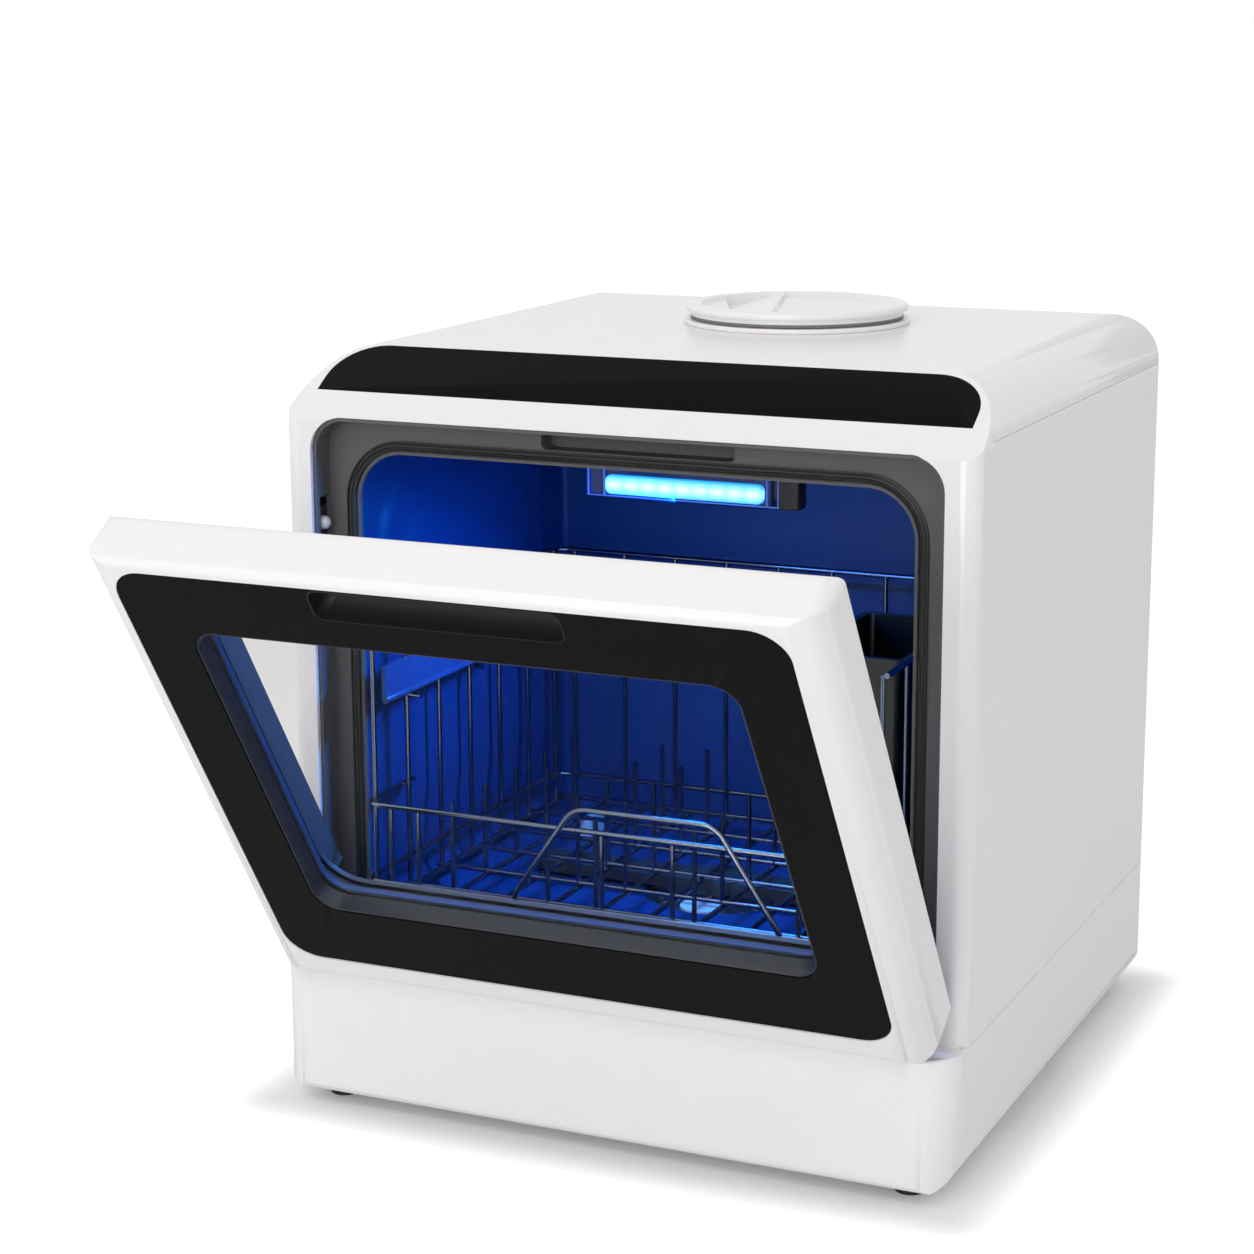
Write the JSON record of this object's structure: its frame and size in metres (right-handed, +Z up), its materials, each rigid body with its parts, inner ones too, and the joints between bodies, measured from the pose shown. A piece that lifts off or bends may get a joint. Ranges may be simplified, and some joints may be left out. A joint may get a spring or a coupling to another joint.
{
  "type": "countertop dishwasher",
  "caption": "Box-shaped countertop dishwasher with a drop-down glazed door standing ajar, a lit tub with a wire rack, a sloped black control panel and a round fill cap on top.",
  "frame": {"origin": "middle of the whole object's bounding box, door ajar, on the plane that its feet stand on", "axes": "+X to the right as one faces the door, +Y from the door to the back, +Z up"},
  "size_m": [0.42, 0.6144, 0.4593],
  "materials": {
    "white_shell": "glossy white, seam lines between shells",
    "black_glass": "opaque black glass, polished",
    "black_plastic": "satin black",
    "dark_recess": "satin dark grey",
    "grey_plastic": "satin grey",
    "blue_tub": "smooth tub, lit blue",
    "black_rubber": "matt black rubber",
    "grey_rubber": "matt grey rubber",
    "clear_glass": "clear tempered glass",
    "lamp_light": "lit light-blue diffuser",
    "lamp_case": "dark blue housing",
    "steel_wire": "polished steel wire",
    "shelf_plastic": "smooth light steel-blue",
    "white_plastic": "plain white plastic",
    "steel": "plain steel",
    "motor_steel": "painted motor can",
    "dark_plastic": "satin dark plastic",
    "pale_plastic": "pale grey plastic",
    "board_green": "coated circuit board",
    "back_metal": "light grey powder coat"
  },
  "bodies": {
    "cabinet": {"base_pan": "white_shell", "feet": "black_rubber", "outer_casing": "white_shell", "top_cover": "white_shell", "back_panel": "back_metal", "back_screws": "steel", "control_glass": "black_glass", "panel_carrier": "grey_plastic", "control_board": "board_green", "door_seat_flange": "grey_plastic", "door_gasket": "black_rubber", "wash_tub": "blue_tub", "filter_plate": "steel", "sump": "dark_plastic", "spray_post": "dark_plastic", "top_nozzle": "dark_plastic", "lamp_housing": "lamp_case", "lamp_lens": "lamp_light", "lamp_board": "board_green", "wash_pump_housing": "dark_plastic", "wash_pump_motor": "motor_steel", "drain_pump_housing": "dark_plastic", "drain_pump_motor": "motor_steel", "flow_heater": "steel", "pump_hoses": "black_rubber", "water_tank": "white_plastic", "inlet_funnel": "white_plastic", "inlet_ring": "white_shell", "fan_housing": "dark_plastic", "fan_motor": "dark_plastic", "power_board": "board_green", "water_connector": "dark_plastic", "drain_connector": "dark_plastic", "cord_gland": "black_rubber", "latch_housings": "dark_plastic", "latch_springs": "steel", "hinge_arm_left": "steel", "hinge_arm_right": "steel"},
    "door": {"door_outer_frame": "white_shell", "door_trim": "black_plastic", "handle_pocket": "dark_recess", "door_inner_frame": "grey_plastic", "door_window_glass": "clear_glass", "door_inner_glass": "clear_glass", "door_strikes": "steel", "door_bottom_seal": "black_rubber", "hinge_pins": "steel"},
    "rack": {"dish_rack": "steel_wire", "rack_glides": "white_plastic"},
    "cup_shelf": {"cup_shelf": "shelf_plastic"},
    "cutlery_basket": {"cutlery_basket": "black_plastic"},
    "inlet_cap": {"inlet_cap": "white_shell", "inlet_seal": "grey_rubber"},
    "filter": {"filter_basket": "white_plastic"},
    "spray_arm": {"spray_arm": "dark_plastic"},
    "wash_impeller": {"wash_impeller": "white_plastic"},
    "drain_impeller": {"drain_impeller": "white_plastic"},
    "fan_wheel": {"fan_wheel": "white_plastic"},
    "latch_left": {"latch_plunger_left": "pale_plastic"},
    "latch_right": {"latch_plunger_right": "pale_plastic"}
  },
  "joints": [
    {"name": "door_hinge", "type": "hinge", "parent": "cabinet", "child": "door", "pos_m": [0, -0.12436, 0.0965], "axis": [1, 0, 0], "range_deg": [-33, 57]},
    {"name": "rack_slide", "type": "slide", "parent": "cabinet", "child": "rack", "axis": [0, 1, 0], "range_m": [0, 0.026]},
    {"name": "cup_shelf_fold", "type": "hinge", "parent": "rack", "child": "cup_shelf", "pos_m": [-0.1526, -0.02836, 0.244], "axis": [0, 1, 0], "range_deg": [0, 85]},
    {"name": "cutlery_basket_lift", "type": "slide", "parent": "rack", "child": "cutlery_basket", "axis": [0, 0, 1], "range_m": [0, 0.08]},
    {"name": "inlet_cap_lift", "type": "slide", "parent": "cabinet", "child": "inlet_cap", "axis": [0, 0, 1], "range_m": [0, 0.03]},
    {"name": "filter_turn", "type": "hinge", "parent": "cabinet", "child": "filter", "pos_m": [0, 0.03964, 0.09], "axis": [0, 0, 1], "range_deg": [0, 90]},
    {"name": "spray_arm_spin", "type": "hinge", "parent": "cabinet", "child": "spray_arm", "pos_m": [0, 0.06464, 0.108], "axis": [0, 0, 1], "continuous": true},
    {"name": "wash_impeller_spin", "type": "hinge", "parent": "cabinet", "child": "wash_impeller", "pos_m": [-0.104, 0.06464, 0.045], "axis": [1, 0, 0], "continuous": true},
    {"name": "drain_impeller_spin", "type": "hinge", "parent": "cabinet", "child": "drain_impeller", "pos_m": [0.096, 0.06464, 0.045], "axis": [1, 0, 0], "continuous": true},
    {"name": "fan_spin", "type": "hinge", "parent": "cabinet", "child": "fan_wheel", "pos_m": [0.118, 0.23164, 0.3], "axis": [0, 1, 0], "continuous": true},
    {"name": "latch_left_press", "type": "slide", "parent": "cabinet", "child": "latch_left", "axis": [-1, 0, 0], "range_m": [0, 0.003], "stiffness_N_per_m": 500, "springref_m": -0.002},
    {"name": "latch_right_press", "type": "slide", "parent": "cabinet", "child": "latch_right", "axis": [1, 0, 0], "range_m": [0, 0.003], "stiffness_N_per_m": 500, "springref_m": -0.002}
  ]
}
